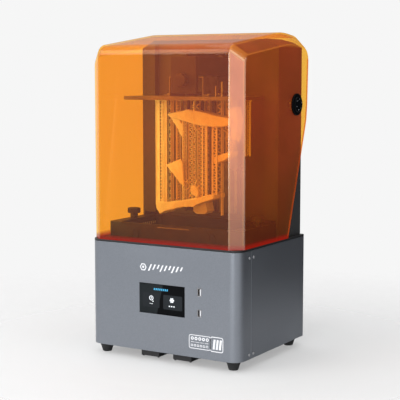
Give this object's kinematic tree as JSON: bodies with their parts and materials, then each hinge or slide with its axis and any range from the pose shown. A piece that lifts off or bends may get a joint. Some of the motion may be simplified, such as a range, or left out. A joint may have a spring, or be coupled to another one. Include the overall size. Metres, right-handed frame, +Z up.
{
  "type": "resin printer",
  "caption": "Bottom-up resin 3D printer with a grey sheet-metal base, touch screen, dark tower, vat, lifting build platform with a print, and a hinged amber hood.",
  "frame": {"origin": "on the floor under the middle of the overall box", "axes": "+X to the printer's right, +Y to its back, +Z up"},
  "size_m": [0.3472, 0.278, 0.6234],
  "materials": {
    "base_paint": "satin metallic grey powder coat",
    "tower_paint": "matte charcoal powder coat",
    "black_plastic": "fine moulded texture",
    "black_gloss": "polished black",
    "amber_acrylic": "clear amber, polished",
    "aluminium": "sand blasted",
    "dark_anodised": "satin dark anodised",
    "steel": "ground steel",
    "motor_black": "painted laminations",
    "brass": "machined",
    "rubber": "matte",
    "circuit_board": "solder mask",
    "supply_case": "pressed metal look",
    "cured_resin": "layered cured resin",
    "clear_film": "clear"
  },
  "bodies": {
    "base": {"front_panel": "base_paint", "left_side_panel": "base_paint", "right_side_panel": "base_paint", "rear_panel": "base_paint", "bottom_plate": "motor_black", "deck_plate": "black_plastic", "foot_front_left": "rubber", "foot_front_right": "rubber", "foot_rear_left": "rubber", "foot_rear_right": "rubber", "left_screw_upper_front": "steel", "left_screw_upper_rear": "steel", "left_screw_lower_front": "steel", "left_screw_lower_rear": "steel", "right_screw_upper_front": "steel", "right_screw_upper_rear": "steel", "right_screw_lower_front": "steel", "right_screw_lower_rear": "steel", "touch_screen_glass": "black_gloss", "display_module": "black_plastic", "usb_port_upper": "steel", "usb_port_lower": "steel", "fan_frame_left": "black_plastic", "fan_frame_right": "black_plastic", "power_inlet": "black_plastic", "lcd_panel": "black_gloss", "light_box": "dark_anodised", "collimating_lens": "clear_film", "led_board": "circuit_board", "led_heat_sink": "aluminium", "main_board": "circuit_board", "power_supply": "supply_case", "tower_housing": "tower_paint", "tower_rear_cover": "tower_paint", "z_column": "aluminium", "rail_left": "steel", "rail_right": "steel", "z_motor": "motor_black", "screw_top_bearing": "dark_anodised", "hinge_pin_left": "steel", "hinge_pin_right": "steel", "vat": "dark_anodised", "release_film": "clear_film"},
    "fan_rotor_left": {"fan_rotor_left": "black_plastic"},
    "fan_rotor_right": {"fan_rotor_right": "black_plastic"},
    "power_switch": {"power_switch_rocker": "black_gloss"},
    "lead_screw": {"lead_screw": "steel", "shaft_coupling": "aluminium"},
    "platform": {"z_carriage": "dark_anodised", "lead_nut": "brass", "platform_arm": "dark_anodised", "plate_bracket": "aluminium", "build_plate": "aluminium", "resin_print": "cured_resin"},
    "plate_clamp_knob": {"plate_clamp_knob": "black_plastic"},
    "vat_knob_left": {"vat_knob_left": "black_plastic"},
    "vat_knob_right": {"vat_knob_right": "black_plastic"},
    "hood": {"amber_hood": "amber_acrylic", "hinge_cap_left": "black_gloss", "hinge_cap_right": "black_gloss"}
  },
  "joints": [
    {"name": "hood_hinge", "type": "hinge", "parent": "base", "child": "hood", "pos_m": [0, 0.086, 0.4845], "axis": [-1, 0, 0], "range_deg": [0, 90]},
    {"name": "platform_lift", "type": "slide", "parent": "base", "child": "platform", "axis": [0, 0, 1], "range_m": [-0.263, 0.005], "deforming": ["resin_print"]},
    {"name": "lead_screw_turn", "type": "hinge", "parent": "base", "child": "lead_screw", "pos_m": [0, 0.08, 0.4], "axis": [0, 0, 1], "continuous": true},
    {"name": "fan_spin_left", "type": "hinge", "parent": "base", "child": "fan_rotor_left", "pos_m": [-0.0335, -0.109, 0.012], "axis": [0, 0, 1], "continuous": true},
    {"name": "fan_spin_right", "type": "hinge", "parent": "base", "child": "fan_rotor_right", "pos_m": [0.0385, -0.109, 0.012], "axis": [0, 0, 1], "continuous": true},
    {"name": "power_switch_rock", "type": "hinge", "parent": "base", "child": "power_switch", "pos_m": [-0.087, 0.127, 0.062], "axis": [1, 0, 0], "range_deg": [0, 14]},
    {"name": "plate_clamp_turn", "type": "hinge", "parent": "platform", "child": "plate_clamp_knob", "pos_m": [0, -0.07, 0.532], "axis": [0, -1, 0], "range_deg": [0, 360]},
    {"name": "vat_knob_left_turn", "type": "hinge", "parent": "base", "child": "vat_knob_left", "pos_m": [-0.141, -0.024, 0.27], "axis": [0, 0, 1], "range_deg": [0, 360]},
    {"name": "vat_knob_right_turn", "type": "hinge", "parent": "base", "child": "vat_knob_right", "pos_m": [0.141, -0.024, 0.27], "axis": [0, 0, 1], "range_deg": [0, 360]}
  ],
  "couplings": [
    {"joint": "lead_screw_turn", "follows": "platform_lift", "rad_per_m": 785.4}
  ]
}
